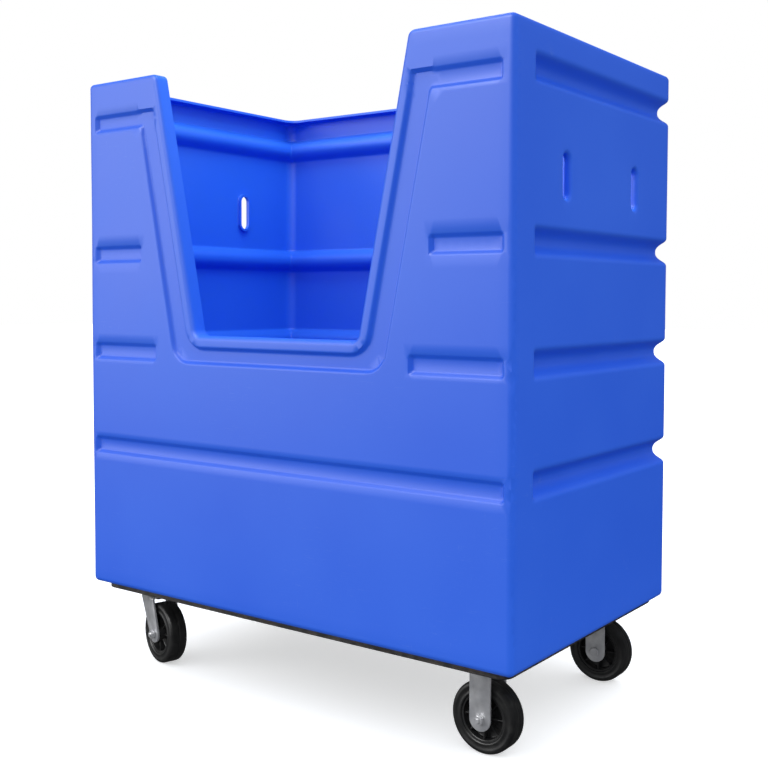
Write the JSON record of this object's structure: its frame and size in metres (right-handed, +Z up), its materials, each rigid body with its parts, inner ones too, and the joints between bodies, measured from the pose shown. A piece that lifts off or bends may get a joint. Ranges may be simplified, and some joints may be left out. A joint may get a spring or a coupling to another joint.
{
  "type": "bulk laundry truck",
  "caption": "Tall moulded plastic bulk truck with a cut-away front for loading, grooved walls, hand slots, a deck, and fixed and swivel casters.",
  "frame": {"origin": "on the floor under the middle of the truck", "axes": "+Z up, X along the truck with the fixed casters at +X, the access opening faces -Y"},
  "size_m": [1.2796, 0.7996, 1.5065],
  "materials": {
    "blue_polyethylene": "satin rotationally moulded polyethylene",
    "black_plywood": "plywood painted black",
    "zinc_steel": "bright zinc plate",
    "bearing_steel": "greased bearing steel",
    "black_tyre": "smooth hard rubber",
    "dark_core": "moulded polyolefin"
  },
  "bodies": {
    "root": {"tub": "blue_polyethylene", "deck": "black_plywood", "deck_bolts": "zinc_steel", "deck_washers": "zinc_steel", "deck_nuts": "zinc_steel", "caster_right_front_bolts": "zinc_steel", "caster_right_front_washers": "zinc_steel", "caster_right_front_nuts": "zinc_steel", "rigid_fork_right_front": "zinc_steel", "axle_bolt_right_front": "zinc_steel", "axle_nut_right_front": "zinc_steel", "axle_sleeve_right_front": "zinc_steel", "thrust_washers_right_front": "zinc_steel", "caster_right_back_bolts": "zinc_steel", "caster_right_back_washers": "zinc_steel", "caster_right_back_nuts": "zinc_steel", "rigid_fork_right_back": "zinc_steel", "axle_bolt_right_back": "zinc_steel", "axle_nut_right_back": "zinc_steel", "axle_sleeve_right_back": "zinc_steel", "thrust_washers_right_back": "zinc_steel", "caster_left_front_bolts": "zinc_steel", "caster_left_front_washers": "zinc_steel", "caster_left_front_nuts": "zinc_steel", "swivel_plate_left_front": "zinc_steel", "kingpin_left_front": "zinc_steel", "kingpin_nut_left_front": "zinc_steel", "ball_ring_left_front": "bearing_steel", "caster_left_back_bolts": "zinc_steel", "caster_left_back_washers": "zinc_steel", "caster_left_back_nuts": "zinc_steel", "swivel_plate_left_back": "zinc_steel", "kingpin_left_back": "zinc_steel", "kingpin_nut_left_back": "zinc_steel", "ball_ring_left_back": "bearing_steel"},
    "right_front_wheel": {"tyre_right_front": "black_tyre", "wheel_core_right_front": "dark_core", "wheel_bearing_right_front": "bearing_steel"},
    "right_back_wheel": {"tyre_right_back": "black_tyre", "wheel_core_right_back": "dark_core", "wheel_bearing_right_back": "bearing_steel"},
    "left_front_yoke": {"swivel_yoke_left_front": "zinc_steel", "axle_bolt_left_front": "zinc_steel", "axle_nut_left_front": "zinc_steel", "axle_sleeve_left_front": "zinc_steel", "thrust_washers_left_front": "zinc_steel"},
    "left_front_wheel": {"tyre_left_front": "black_tyre", "wheel_core_left_front": "dark_core", "wheel_bearing_left_front": "bearing_steel"},
    "left_back_yoke": {"swivel_yoke_left_back": "zinc_steel", "axle_bolt_left_back": "zinc_steel", "axle_nut_left_back": "zinc_steel", "axle_sleeve_left_back": "zinc_steel", "thrust_washers_left_back": "zinc_steel"},
    "left_back_wheel": {"tyre_left_back": "black_tyre", "wheel_core_left_back": "dark_core", "wheel_bearing_left_back": "bearing_steel"}
  },
  "joints": [
    {"name": "right_front_roll", "type": "hinge", "parent": "root", "child": "right_front_wheel", "pos_m": [0.506, -0.272, 0.0762], "axis": [0, 1, 0], "continuous": true},
    {"name": "right_back_roll", "type": "hinge", "parent": "root", "child": "right_back_wheel", "pos_m": [0.506, 0.272, 0.0762], "axis": [0, 1, 0], "continuous": true},
    {"name": "left_front_swivel", "type": "hinge", "parent": "root", "child": "left_front_yoke", "pos_m": [-0.506, -0.272, 0.1762], "axis": [0, 0, 1], "continuous": true},
    {"name": "left_front_roll", "type": "hinge", "parent": "left_front_yoke", "child": "left_front_wheel", "pos_m": [-0.46736, -0.28235, 0.0762], "axis": [0.2588, 0.9659, 0], "continuous": true},
    {"name": "left_back_swivel", "type": "hinge", "parent": "root", "child": "left_back_yoke", "pos_m": [-0.506, 0.272, 0.1762], "axis": [0, 0, 1], "continuous": true},
    {"name": "left_back_roll", "type": "hinge", "parent": "left_back_yoke", "child": "left_back_wheel", "pos_m": [-0.46891, 0.28698, 0.0762], "axis": [-0.3746, 0.9272, 0], "continuous": true}
  ]
}
